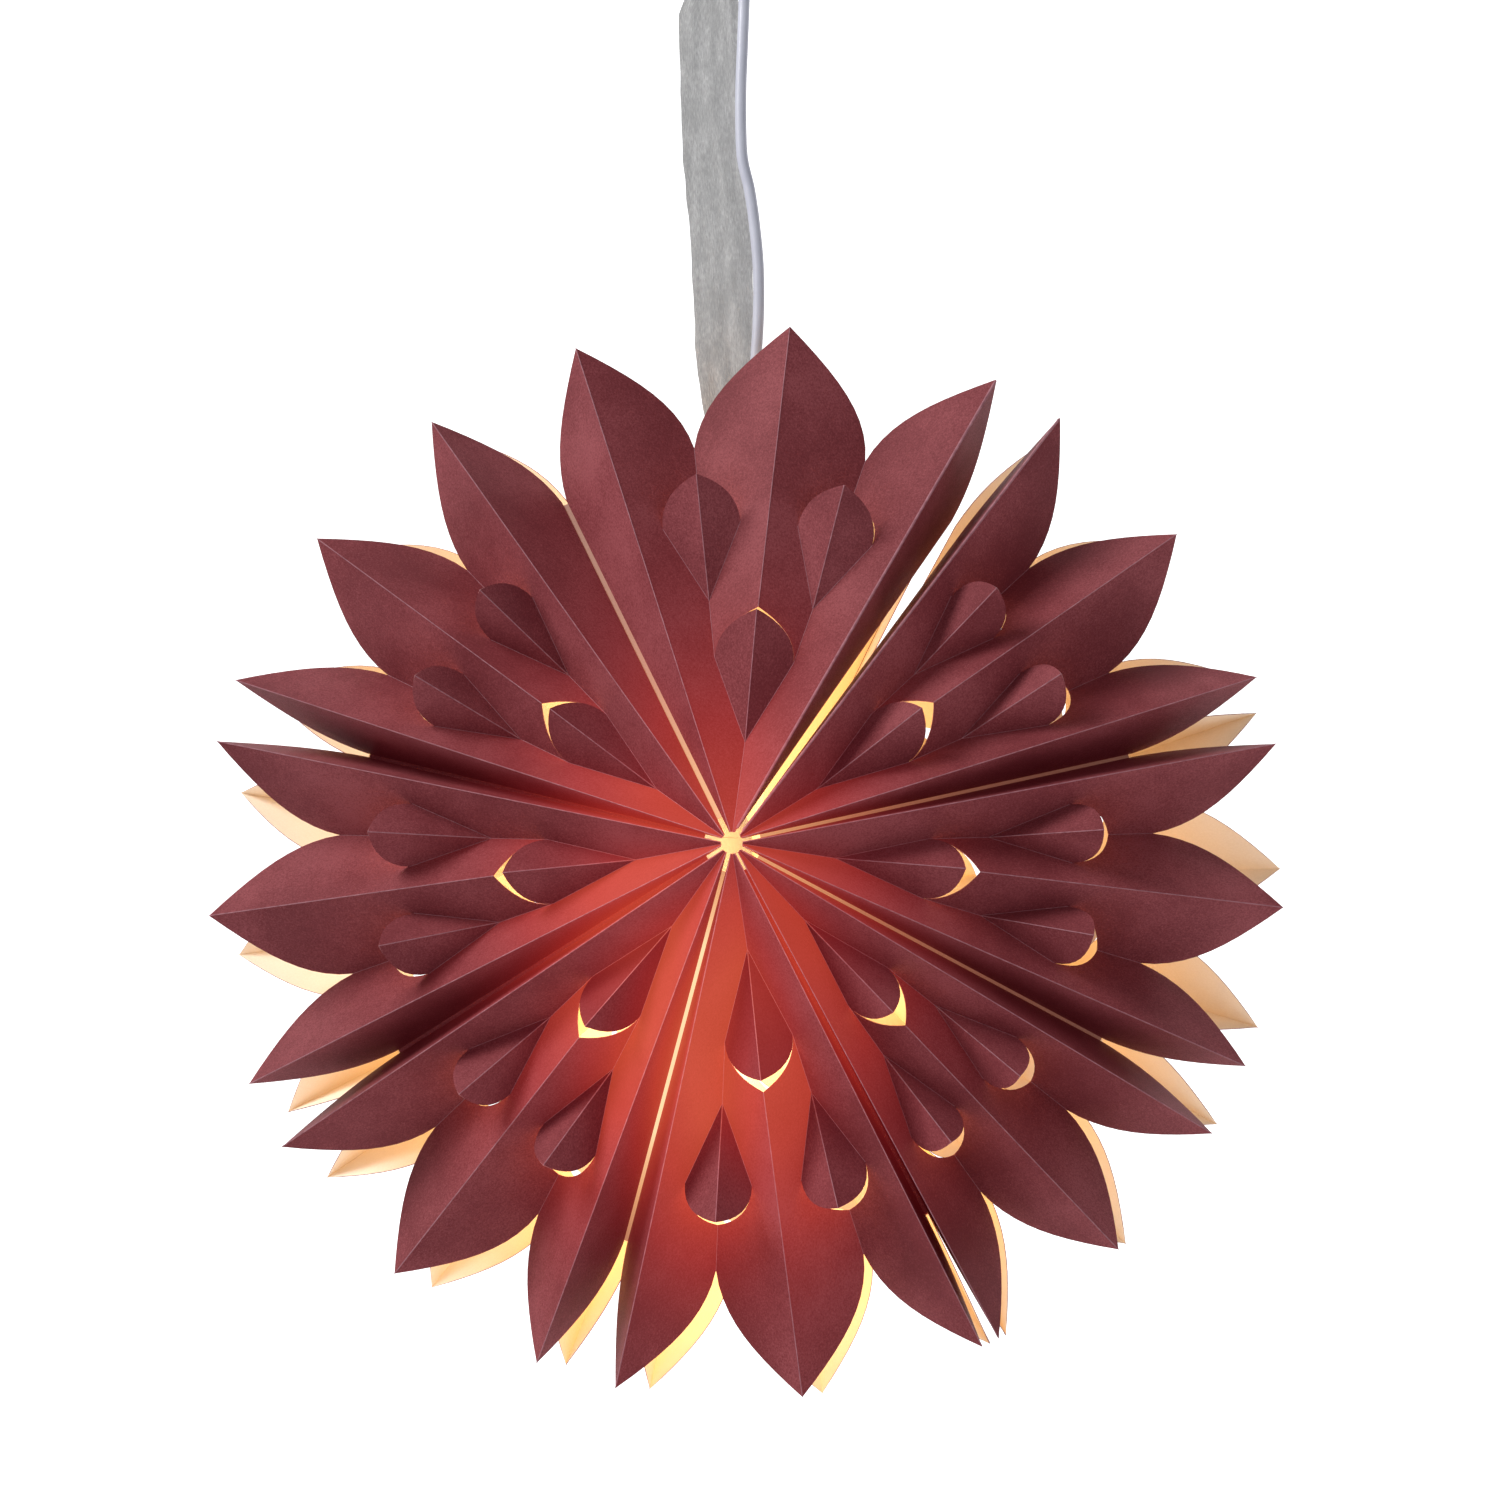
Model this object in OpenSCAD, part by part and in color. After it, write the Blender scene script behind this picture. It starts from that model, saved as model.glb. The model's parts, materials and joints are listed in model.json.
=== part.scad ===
// Hanging paper star lantern: eight pleated front segments and eight back segments round a lamp,
// hung from a ceiling cup by a sheer ribbon and a round cable.
// The part's frame: origin at the middle of the ceiling strap's top face, +Z up, front towards -Y.
// The star's own frame has its axis along +z (towards the viewer), x to the right and y upwards.

/* [Paper] */
// Thickness of the paper
paper = 0.5; // [0.3:0.1:0.8]
// Length of a petal's ridge from the hub to the petal's tip
ridge_len = 302.5; // [290:0.5:320]
// Distance along the paper from the hub to the notch between two petals
notch_len = 241; // [235:1:245]
// Distance along the paper from the hub to the sheet's inner end
hub_len = 3; // [2.5:0.5:6]
// Angle between a ridge and the next valley, measured flat on the paper
fold_angle = 13; // [12.6:0.1:13.6]
// Slope of an outer ridge from the hub down to its tip
ridge_drop = 11.1; // [9:0.1:13]
// Height of the hub in front of the star's middle plane
hub_height = 103; // [102:1:120]

/* [Spreading of the segments] */
// How far each segment's hub end stands away from the star's axis
hub_spread = 3.2; // [2.8:0.1:5]
// Angle by which the slit between the two end segments stands open
slit_angle = 1.6; // [0.8:0.1:2.4]

/* [Inner flaps] */
// Hub to the inner flap's root, along the paper
inner_root = 60; // [56:1:70]
// Hub to the ends of the inner flap's cut
inner_end = 109; // [104:1:114]
// Hub to the tip of the inner flap's cut
inner_tip = 133.5; // [130:0.5:140]

/* [Outer flaps] */
// Hub to the outer flap's root, along the valley
outer_root = 144; // [140:1:150]
// Hub to the ends of the outer flap's cut
outer_end = 187; // [180:1:192]
// Hub to the tip of the outer flap's cut
outer_tip = 214.5; // [212:0.5:220]
// Angle from the valley to the ends of the outer flap's cut
outer_angle = 7.5; // [6:0.5:9]

/* [Joining strips] */
// Width of a seam strip
strip_w = 6; // [5:0.5:8]
// Thickness of the strips and rim tabs
strip_t = 0.4; // [0.3:0.1:0.6]
// Width of a rim tab
tab_w = 8; // [6:1:12]
// Bare crease between a closing panel and its segment
crease_gap = 1.3; // [1.3:0.1:1.6]

/* [Lamp] */
// Diameter of the bulb's glass
bulb_d = 45; // [40:1:50]
// Length of the bulb's neck from the middle of the globe to its screw cap
neck_len = 27; // [25:1:32]
// Outer radius of the bulb's screw cap
cap_r = 6.9; // [6.5:0.1:7.2]
// Length of the bulb's screw cap
cap_len = 17; // [15:1:19]
// Outer diameter of the lamp holder
holder_d = 28; // [26:0.5:34]
// Wall of the lamp holder
holder_wall = 1.6; // [1.2:0.1:2]
// Length of the lamp holder's shell
holder_len = 40; // [38:1:48]
// Length of the lamp holder's tapered cap
holder_cap_len = 20; // [16:1:26]
// Length of the cord grip above the holder's cap
grip_len = 12; // [8:1:20]

/* [Hanging] */
// Ceiling to the middle of the star
hang = 600; // [590:1:610]
// Diameter of the lamp cable
cable_d = 6.5; // [5.5:0.1:7]
// Width of the ribbon
ribbon_w = 32; // [26:1:38]
// Thickness of the ribbon's folds
ribbon_t = 1.2; // [0.8:0.1:2]
// Diameter of the wire that the ribbon is tied to
wire_d = 2; // [1.6:0.2:2.4]
// Height of the wire above the middle of the star
wire_up = 215; // [212:1:218]

/* [Ceiling fitting] */
// Outer diameter of the ceiling cup
cup_d = 88; // [80:1:110]
// Depth of the ceiling cup
cup_h = 48; // [46:1:50]
// Wall of the ceiling cup
cup_wall = 1.8; // [1.4:0.1:2.4]
// Distance between the strap's two screw holes
screw_pitch = 60; // [56:1:64]
// Diameter of the strap's screw holes
screw_hole_d = 4.6; // [4:0.1:5]
// Width of the strap
strap_w = 18; // [16:1:22]
// Thickness of the strap
strap_t = 2; // [1.5:0.5:2.5]
// Diameter of the hook's threaded shank
shank_d = 5; // [4:0.5:6]
// Diameter of the hook's wire
hook_d = 4; // [3:0.5:4.5]
// Radius of the hook's bend
hook_r = 9; // [8:0.5:12]

/* [Hidden] */
$fn = 48;

paper_out = [0.42, 0.13, 0.17];
paper_in = [0.95, 0.90, 0.82];
white_plastic = [0.93, 0.93, 0.92];

// Each segment's first ridge, counted clockwise from the slit, and its ridge spacing, in degrees
front_folds = [
    [53.8, 17.75], [11.3, 17.35], [-30.9, 15.65], [-63.8, 19.75],
    [-111.6, 18.1], [-155, 18.85], [-199.2, 17.8], [-251.8, 23.45]
];
back_folds = [
    [55.5, 17.5], [17, 17.5], [-29, 16.4], [-63.4, 19],
    [-110.5, 17], [-152.5, 18.3], [-200.5, 18.2], [-251.4, 22.8]
];
segments = len(front_folds);

same_point = 0.01; // points nearer than this are one
gap = 0.3; // between pieces that touch on the real lantern
fit = 0.1; // round a shaft in its hole

// Directions from the hub and the slopes that the flat paper angles give

function unit(v) = v / norm(v);
function direction(azimuth, drop) =
    [cos(drop) * cos(azimuth), cos(drop) * sin(azimuth), -sin(drop)];

// Slope of a line that lies `flat` degrees from a ridge on the paper and `turn` degrees from it in plan
function line_drop(turn, flat, drop, side = 1) =
    atan2(sin(drop), cos(drop) * cos(turn))
    + side * acos(cos(flat) / norm([cos(drop) * cos(turn), sin(drop)]));

// Angle by which a panel turns down about its ridge
function panel_roll(turn, flat, drop) =
    let (a = sin(flat), b = tan(turn) * sin(flat) * sin(drop))
    atan2(b, a) + acos(tan(turn) * cos(flat) * cos(drop) / norm([a, b]));

function azimuth_of(v) = atan2(v.y, v.x);
function drop_of(v) = asin(-v.z);

function first_ridge(folds, k) = folds[k][0];
function spacing(folds, k) = folds[k][1];
function middle(folds, k) = folds[k][0] - folds[k][1];
function last_ridge(folds, k) = folds[k][0] - 2 * folds[k][1];

// Azimuth of the seam after segment k, going clockwise; the last one is the open slit
function seam_azimuth(folds, k) =
    (last_ridge(folds, k) + first_ridge(folds, (k + 1) % segments) - (k == segments - 1 ? 360 : 0)) / 2;
function seam_turn(folds, k) = last_ridge(folds, k) - seam_azimuth(folds, k);

// Hub end of segment k, spread away from the star's axis
function hub_point(folds, k) =
    let (m = middle(folds, k)) [hub_spread * cos(m), hub_spread * sin(m), hub_height];

// The valley on either side of the middle petal halves the wide hub panel
function valley_turn(folds, k) =
    let (p = spacing(folds, k), centre_drop = line_drop(p, 2 * fold_angle, ridge_drop))
    -azimuth_of(unit(direction(0, ridge_drop) + direction(-p, centre_drop)));
function valley_drop(folds, k) =
    let (p = spacing(folds, k), centre_drop = line_drop(p, 2 * fold_angle, ridge_drop))
    drop_of(unit(direction(0, ridge_drop) + direction(-p, centre_drop)));
function middle_turn(folds, k) = spacing(folds, k) - valley_turn(folds, k);
function middle_drop(folds, k) = line_drop(middle_turn(folds, k), fold_angle, valley_drop(folds, k), -1);

// Outlines on the flat paper: x along a ridge, y towards its valley

function polar(s, angle) = [s * cos(angle), s * sin(angle)];
function bezier(p, steps) = [for (i = [0:steps]) let (t = i / steps)
    pow(1 - t, 3) * p[0] + 3 * pow(1 - t, 2) * t * p[1] + 3 * (1 - t) * t * t * p[2] + pow(t, 3) * p[3]];
function reversed(points) = [for (i = [len(points) - 1:-1:0]) points[i]];

// Edge of half a petal, from its tip to the notch
function petal_edge() =
    let (tip = [ridge_len, 0], notch = polar(notch_len, fold_angle), run = tip - notch)
    reversed(bezier([notch, notch + [0.42 * run.x, 0.02 * run.y],
        tip + [-0.33 * run.x, -0.6 * run.y], tip], 10));

// Cut edge of half a flap, from its side end to its tip, with the flap's middle line along x
function flap_edge(end, tip) =
    let (run = tip - end)
    bezier([end, end + [0.5 * run.x, 0], tip + [-0.2 * run.x, -0.6 * run.y], tip], 8);
function inner_edge() = flap_edge(polar(inner_end, fold_angle), [inner_tip, 0]);
function outer_edge() = flap_edge(polar(outer_end, outer_angle), [outer_tip, 0]);

// The same points counted from another line on the paper, on its other side
function turned(points, angle) =
    [for (q = points) polar(norm(q), angle - atan2(q.y, q.x))];

function outer_hole() = concat(reversed(turned(outer_edge(), fold_angle)), [polar(outer_root, fold_angle)]);

side_outline = concat([[hub_len, 0]], petal_edge(), [polar(hub_len, fold_angle)]);
wide_outline = concat([[hub_len, 0]], petal_edge(), outer_hole(),
    [polar(inner_end, fold_angle), polar(inner_root, 2 * fold_angle), polar(hub_len, 2 * fold_angle)]);
middle_outline = concat(petal_edge(), outer_hole(), inner_edge());
inner_flap_outline = concat([polar(inner_root, 2 * fold_angle)], turned(inner_edge(), 2 * fold_angle));
outer_flap_outline = concat([polar(outer_root, fold_angle)], turned(outer_edge(), fold_angle));

// A flat outline cut into triangles, corner by corner, as lists of three of its points
function corner_turn(a, b, c) = (b.x - a.x) * (c.y - a.y) - (b.y - a.y) * (c.x - a.x);
function within(q, a, b, c) =
    corner_turn(a, b, q) >= 0 && corner_turn(b, c, q) >= 0 && corner_turn(c, a, q) >= 0;
function can_cut(points, left, i) =
    let (n = len(left), before = left[(i + n - 1) % n], here = left[i], after = left[(i + 1) % n],
         a = points[before], b = points[here], c = points[after])
    corner_turn(a, b, c) > same_point
    && len([for (j = left) if (j != before && j != here && j != after && within(points[j], a, b, c)) j]) == 0;
function first_cut(points, left, i = 0) = can_cut(points, left, i) ? i : first_cut(points, left, i + 1);
function triangles(points, left) = len(left) == 3 ? [left] :
    let (n = len(left), cut = first_cut(points, left))
    concat([[left[(cut + n - 1) % n], left[cut], left[(cut + 1) % n]]],
        triangles(points, [for (i = [0:n - 1]) if (i != cut) left[i]]));
function cut_up(outline) = triangles(outline, [for (i = [0:len(outline) - 1]) i]);
side_cut = cut_up(side_outline);
wide_cut = cut_up(wide_outline);
middle_cut = cut_up(middle_outline);
inner_flap_cut = cut_up(inner_flap_outline);
outer_flap_cut = cut_up(outer_flap_outline);

// Places an outline on the flat panel that hangs from a ridge, and lists its points counterclockwise as
// seen from outside: side 1 lies counterclockwise of the ridge and -1 clockwise
function placed(points, azimuth, drop, roll, side) =
    let (list = [for (q = points)
        let (y = side * q.y * cos(roll), z = -q.y * sin(roll), x = q.x * cos(drop) + z * sin(drop))
        [x * cos(azimuth) - y * sin(azimuth), x * sin(azimuth) + y * cos(azimuth),
         z * cos(drop) - q.x * sin(drop)]])
    side > 0 ? list : reversed(list);

function side_panel(folds, k, side) =
    let (turn = side > 0 ? seam_turn(folds, (k + segments - 1) % segments) : seam_turn(folds, k))
    placed(side_outline, side > 0 ? first_ridge(folds, k) : last_ridge(folds, k), ridge_drop,
        panel_roll(turn, fold_angle, ridge_drop), side);

// The hub panel from an outer ridge to the middle line; end 1 is at the first ridge
function wide_panel(folds, k, end, points) =
    placed(points, end > 0 ? first_ridge(folds, k) : last_ridge(folds, k), ridge_drop,
        panel_roll(spacing(folds, k), 2 * fold_angle, ridge_drop), -end);

function middle_panel(folds, k, end, points) =
    placed(points, middle(folds, k), middle_drop(folds, k),
        panel_roll(middle_turn(folds, k), fold_angle, middle_drop(folds, k)), end);

// A popped-out flap: its flat place in the sheet, mirrored in the plane through its root and side ends
function popped(points, root, end_a, end_b) =
    let (n = unit(cross(end_a - root, end_b - root))) [for (q = points) q - 2 * ((q - root) * n) * n];

// A placed outline with its triangles, which follow the order of its points
function plate(points, cut, side) =
    [points, side > 0 ? cut : [for (t = cut) [for (i = [2:-1:0]) len(points) - 1 - t[i]]]];

function segment_plates(folds, k) =
    let (root = wide_panel(folds, k, 1, [polar(inner_root, 2 * fold_angle)])[0],
         sides = [for (end = [1, -1]) wide_panel(folds, k, end, [polar(inner_end, fold_angle)])[0]])
    concat(
        k > 0 ? [plate(side_panel(folds, k, 1), side_cut, 1)] : [],
        k < segments - 1 ? [plate(side_panel(folds, k, -1), side_cut, -1)] : [],
        [for (end = [1, -1]) plate(wide_panel(folds, k, end, wide_outline), wide_cut, -end)],
        [for (end = [1, -1]) plate(middle_panel(folds, k, end, middle_outline), middle_cut, end)],
        [for (end = [1, -1]) let (flat = wide_panel(folds, k, end, inner_flap_outline))
            plate(popped(flat, root, sides[0], sides[1]), inner_flap_cut, -end)],
        [for (end = [1, -1])
            let (foot = wide_panel(folds, k, end, [polar(outer_root, fold_angle)])[0],
                 a = wide_panel(folds, k, end, [polar(outer_end, fold_angle - outer_angle)])[0],
                 b = middle_panel(folds, k, end, [polar(outer_end, fold_angle - outer_angle)])[0],
                 halves = [wide_panel(folds, k, end, outer_flap_outline),
                           middle_panel(folds, k, end, outer_flap_outline)])
            each [plate(popped(halves[0], foot, a, b), outer_flap_cut, -end),
                  plate(popped(halves[1], foot, a, b), outer_flap_cut, end)]]);

// Paper of even thickness on flat plates that meet along their edges, as one closed solid
function first_match(points, q) = [for (i = [0:len(points) - 1]) if (norm(points[i] - q) < same_point) i][0];
function total(list, i = 0) = i == len(list) - 1 ? list[i] : list[i] + total(list, i + 1);
function plate_normal(points) =
    unit(total([for (i = [1:len(points) - 2]) cross(points[i] - points[0], points[i + 1] - points[0])]));

// Offset of a corner whose plates, with these normals, all move out by one
function corner_offset(n) = len(n) > 2
    ? (cross(n[1], n[2]) + cross(n[2], n[0]) + cross(n[0], n[1])) / (n[0] * cross(n[1], n[2]))
    : len(n) / (total(n) * total(n)) * total(n);

module folded_paper(plates) {
    points = [for (plate = plates) each plate[0]];
    shared = [for (q = points) first_match(points, q)];
    starts = [for (i = 0, sum = 0; i < len(plates); sum = sum + len(plates[i][0]), i = i + 1) sum];
    outlines = [for (i = [0:len(plates) - 1]) [for (j = [0:len(plates[i][0]) - 1]) shared[starts[i] + j]]];
    faces = [for (i = [0:len(plates) - 1]) each [for (t = plates[i][1]) [for (j = t) outlines[i][j]]]];
    normals = [for (plate = plates) plate_normal(plate[0])];
    offsets = [for (v = [0:len(points) - 1]) paper / 2 * corner_offset(
        [for (i = [0:len(plates) - 1]) if (len(search(shared[v], outlines[i])) > 0) normals[i]])];
    edges = [for (line = outlines) each [for (j = [0:len(line) - 1]) [line[j], line[(j + 1) % len(line)]]]];
    rim = [for (edge = edges) if (len([for (other = edges) if (other == [edge[1], edge[0]]) 1]) == 0) edge];
    under = len(points);
    polyhedron(
        [for (way = [1, -1]) each [for (v = [0:under - 1]) points[v] + way * offsets[v]]],
        concat([for (face = faces) reversed(face)], [for (face = faces) [for (v = face) v + under]],
            [for (edge = rim) [edge[0], edge[1], edge[1] + under, edge[0] + under]]), convexity = 10);
}

module segment_sheet(folds, k) { translate(hub_point(folds, k)) folded_paper(segment_plates(folds, k)); }

module closing_panel(folds, k, side) {
    turn = seam_turn(folds, segments - 1) - slit_angle / 2;
    translate(hub_point(folds, k))
        rotate([0, 0, side > 0 ? first_ridge(folds, k) : last_ridge(folds, k)]) rotate([0, ridge_drop, 0])
        mirror([0, side < 0 ? 1 : 0, 0]) rotate([-panel_roll(turn, fold_angle, ridge_drop), 0, 0])
        translate([0, 0, -paper / 2]) linear_extrude(paper) intersection() {
            polygon(side_outline);
            translate([0, crease_gap]) square([ridge_len, ridge_len]);
        }
}

// Placing the star, its front or its back, in the part's frame
star_x = 19;
module in_star() { translate([star_x, 0, -hang]) rotate([90, 0, 0]) children(); }
module in_back() { in_star() mirror([0, 0, 1]) children(); }

module front_segment(number) { color(paper_out) in_star() segment_sheet(front_folds, number - 1); }
module back_segment(number) { color(paper_out) in_back() segment_sheet(back_folds, number - 1); }
module closing_panel_front_left() { color(paper_out) in_star() closing_panel(front_folds, segments - 1, -1); }
module closing_panel_front_right() { color(paper_out) in_star() closing_panel(front_folds, 0, 1); }
module closing_panel_back_left() { color(paper_out) in_back() closing_panel(back_folds, segments - 1, -1); }
module closing_panel_back_right() { color(paper_out) in_back() closing_panel(back_folds, 0, 1); }

// Strips behind the closed seams and tabs that join front and back at the rim

function seam_hub(folds, k) = (hub_point(folds, k) + hub_point(folds, k + 1)) / 2;
function seam_drop(folds, k) = line_drop(seam_turn(folds, k), fold_angle, ridge_drop);
strip_start = 14; // clear of the panels that crowd the hub
strip_end = notch_len - 2;
strip_under = paper / 2 + 2 * fit; // the panels' lower edges stand this far above the strip

module seam_strip(folds, k) {
    translate(seam_hub(folds, k)) rotate([0, 0, seam_azimuth(folds, k)]) rotate([0, seam_drop(folds, k), 0])
        translate([strip_start, -strip_w / 2, -strip_under - strip_t])
        cube([strip_end - strip_start, strip_w, strip_t]);
}

module front_seam_strips() { color(paper_in) in_star() for (k = [0:segments - 2]) seam_strip(front_folds, k); }
module back_seam_strips() { color(paper_in) in_back() for (k = [0:segments - 2]) seam_strip(back_folds, k); }

tab_end = 1.5; // height of a rim tab's glued end
tab_under = strip_under + gap; // the tab's end stands this far under the notch
module tab_end_block(folds, k) {
    hub = seam_hub(folds, k);
    drop = seam_drop(folds, k);
    translate([hub.x, hub.y, 0]) rotate([0, 0, seam_azimuth(folds, k)])
        translate([strip_end * cos(drop) + fit, -tab_w / 2,
            hub.z - notch_len * sin(drop) - tab_under - tab_end])
        cube([strip_t, tab_w, tab_end]);
}

module rim_tabs() {
    color(paper_in) for (k = [0:segments - 2]) hull() {
        in_star() tab_end_block(front_folds, k);
        in_back() tab_end_block(back_folds, k);
    }
}

// A round rod between two points, and the same with ball ends
module rod(a, b, r) {
    run = b - a;
    translate(a) rotate([0, acos(run.z / norm(run)), atan2(run.y, run.x)])
        cylinder(h = norm(run), r = r, $fn = 24);
}
module bar(a, b, r) {
    rod(a, b, r);
    translate(a) sphere(r, $fn = 24);
    translate(b) sphere(r, $fn = 24);
}

// The hanger wire runs from the front sheet to the back sheet inside the top segment

wire_x = -8; // left of the star's middle
foot_len = 12;
patch_size = 18;
function sheet_normal(folds) =
    plate_normal(middle_panel(folds, segments - 1, 1, middle_outline));
function sheet_point(folds, x, y) =
    let (n = sheet_normal(folds), hub = hub_point(folds, segments - 1))
    [x, y, hub.z - (n.x * (x - hub.x) + n.y * (y - hub.y)) / n.z];
function under_sheet(folds, x, y, depth) = sheet_point(folds, x, y) - [0, 0, depth / sheet_normal(folds).z];
wire_depth = paper / 2 + fit + wire_d / 2;

wire_bend = 2 * wire_d; // how far the bend reaches along the foot and the span
function flipped(point) = [point.x, point.y, -point.z];
function wire_half(folds) =
    let (corner = under_sheet(folds, wire_x, wire_up, wire_depth),
         foot = under_sheet(folds, wire_x + foot_len, wire_up, wire_depth), run = unit(foot - corner))
    [foot, corner + wire_bend * run, corner + 0.35 * wire_bend * run - [0, 0, 0.1 * wire_bend],
     corner + 0.1 * wire_bend * run - [0, 0, 0.35 * wire_bend], corner - [0, 0, wire_bend]];

module hanger_wire() {
    color([0.75, 0.76, 0.78]) in_star()
        tube(concat(wire_half(front_folds), [for (q = reversed(wire_half(back_folds))) flipped(q)]),
            wire_d / 2, 12);
}

// A patch lies under a foot, flat on it, and is notched where the wire's span leaves the foot
module patch(folds) {
    n = sheet_normal(folds);
    place = under_sheet(folds, wire_x + foot_len / 2 + wire_bend, wire_up, wire_depth + wire_d / 2 + fit);
    translate(place) rotate([0, acos(n.z), atan2(n.y, n.x)]) rotate([0, 0, -atan2(n.y, n.x)])
        translate([-foot_len / 2, -patch_size / 2, -strip_t]) cube([foot_len, patch_size, strip_t]);
}

module hanger_patches() {
    color(paper_in) {
        in_star() patch(front_folds);
        in_back() patch(back_folds);
    }
}

// Ribbon: a flat band with a knot and a loop at each end

ribbon_y = 6;
hook_level = -63; // middle of the hook's bend
hook_bottom = hook_level - hook_r;
loop_w = 8;
loop_wall = 0.8;
hook_loop_r = hook_d / 2 + (hook_r - sqrt(pow(hook_r, 2) - pow(loop_w / 2, 2))) + gap;
wire_loop_r = wire_d / 2 + gap;
knot_r = 5;
top_knot_z = hook_bottom - hook_loop_r - loop_wall - knot_r + 1;
wire_z = wire_up - hang;
bottom_knot_z = wire_z + wire_loop_r + loop_wall + knot_r - 1;
// Left and right edges of the band at chosen heights: [z, middle x]
ribbon_line = [[-118, 0], [-200, 2], [-300, 8], [-350, 10]];

module ribbon_band() {
    half = ribbon_w / 2;
    left = [for (q = ribbon_line) [q[1] - half, q[0]]];
    right = [for (q = ribbon_line) [q[1] + half, q[0]]];
    bottom_x = star_x + wire_x;
    translate([0, ribbon_y + ribbon_t / 2, 0]) rotate([90, 0, 0]) linear_extrude(ribbon_t)
        polygon(concat([[-loop_w / 2, top_knot_z]], left, [[bottom_x - loop_w / 2, bottom_knot_z]],
            [[bottom_x + loop_w / 2, bottom_knot_z]], reversed(right), [[loop_w / 2, top_knot_z]]));
}

module ribbon_loop(r) {
    rotate([0, 90, 0]) difference() {
        cylinder(h = loop_w, r = r + loop_wall, center = true);
        cylinder(h = loop_w + 1, r = r, center = true);
    }
}

module ribbon() {
    color([0.8, 0.8, 0.8, 0.6]) {
        translate([0, 0, hook_bottom]) ribbon_loop(hook_loop_r);
        translate([0, 0, top_knot_z]) sphere(knot_r);
        // the loop's tail down to the band, which hangs behind the cable
        bar([0, 0, top_knot_z], [0, ribbon_y, top_knot_z - knot_r * 2], knot_r / 2);
        ribbon_band();
        translate([star_x + wire_x, ribbon_y, bottom_knot_z]) sphere(knot_r);
        translate([star_x + wire_x, ribbon_y, wire_z]) rotate([0, 0, 90]) ribbon_loop(wire_loop_r);
    }
}

// Lamp: hangs from its cable a little left of and in front of the star's middle

lamp_x = star_x - 10;
lamp_y = -10;
globe_z = -55 - hang;
screw_bottom = globe_z + neck_len;
screw_top = screw_bottom + cap_len;
tip_len = 2;
insulator_len = 4;
contact_z = screw_top + insulator_len + tip_len;
shell_bottom = screw_bottom - 1;
shell_top = shell_bottom + holder_len;
holder_cap_top = shell_top + holder_cap_len;
grip_top = holder_cap_top + grip_len;
grip_r = cable_d / 2 + 1.6;
cable_r = cable_d / 2;
cable_bottom = shell_top + 2;
sleeve_wall = 0.4;
sleeve_r = cap_r + gap;
insulator_r = holder_d / 2 - holder_wall - fit;

module at_lamp(z) { translate([lamp_x, lamp_y, z]) children(); }

// A revolved piece from its section's [radius, height] points
module turned_piece(points) { rotate_extrude($fn = 64) polygon(points); }

module cord_grip() {
    color(white_plastic) at_lamp(0) turned_piece([
        [cable_r + fit, shell_top + 8], [grip_r + 2, shell_top + 8], [grip_r + 2, shell_top + 11],
        [grip_r, shell_top + 11], [grip_r, holder_cap_top + 2], [grip_r - 0.8, grip_top],
        [cable_r + fit, grip_top]]);
}

module holder_cap() {
    r = holder_d / 2;
    color(white_plastic) at_lamp(0) turned_piece([
        [r - holder_wall, shell_top + fit], [r, shell_top + fit], [r, shell_top + 5],
        [grip_r + 3, holder_cap_top], [grip_r + fit, holder_cap_top], [grip_r + fit, holder_cap_top - 5],
        [r - holder_wall, shell_top + 4]]);
}

module holder_shell() {
    r = holder_d / 2;
    color(white_plastic) at_lamp(0) turned_piece([
        [r - holder_wall, shell_bottom], [r - 0.5, shell_bottom], [r, shell_bottom + 1], [r, shell_top],
        [r - holder_wall, shell_top]]);
}

module holder_insulator() {
    color([0.96, 0.95, 0.92]) at_lamp(0) turned_piece([
        [sleeve_r + sleeve_wall + fit, screw_bottom + 4], [insulator_r, screw_bottom + 4],
        [insulator_r, shell_top], [0, shell_top], [0, contact_z + 2],
        [sleeve_r + sleeve_wall + fit, contact_z + 2]]);
}

module thread_sleeve() {
    color([0.80, 0.65, 0.32]) at_lamp(0) turned_piece([
        [sleeve_r, screw_bottom + 2], [sleeve_r + sleeve_wall, screw_bottom + 2],
        [sleeve_r + sleeve_wall, screw_top + 2], [sleeve_r, screw_top + 2]]);
}

module centre_contact() {
    color([0.80, 0.65, 0.32]) at_lamp(contact_z + fit) cylinder(h = 2 - 2 * fit, r = 2.5);
}

glass_wall = 1;
neck_r = cap_r - 0.7;
cap_core = 3; // depth of the glass neck's seat in the screw cap
core_hole_r = 2;
module bulb_profile(inset) {
    r = bulb_d / 2 - inset;
    intersection() {
        union() {
            circle(r, $fn = 96);
            polygon([[0, 0], [r * cos(35), r * sin(35)], [neck_r - inset + 3, neck_len - 5],
                [neck_r - inset, neck_len], [neck_r - inset, neck_len + cap_core - fit],
                [0, neck_len + cap_core - fit]]);
        }
        translate([0, -bulb_d]) square([bulb_d, 3 * bulb_d]);
    }
}

module bulb_glass() {
    color([1, 0.95, 0.85]) at_lamp(globe_z) rotate_extrude($fn = 96) difference() {
        bulb_profile(0);
        bulb_profile(glass_wall);
    }
}

// The screw cap stands a hair off the neck inside it
module bulb_screw_cap() {
    color([0.78, 0.78, 0.76]) at_lamp(0) turned_piece([
        [neck_r + fit, screw_bottom], [cap_r, screw_bottom], [cap_r, screw_top - 1], [cap_r - 1, screw_top],
        [core_hole_r, screw_top], [core_hole_r, screw_bottom + cap_core],
        [neck_r + fit, screw_bottom + cap_core]]);
}

module bulb_cap_insulator() {
    color([0.12, 0.12, 0.13]) at_lamp(screw_top) cylinder(h = insulator_len, r1 = cap_r - 1.2, r2 = 2.8);
}

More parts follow.
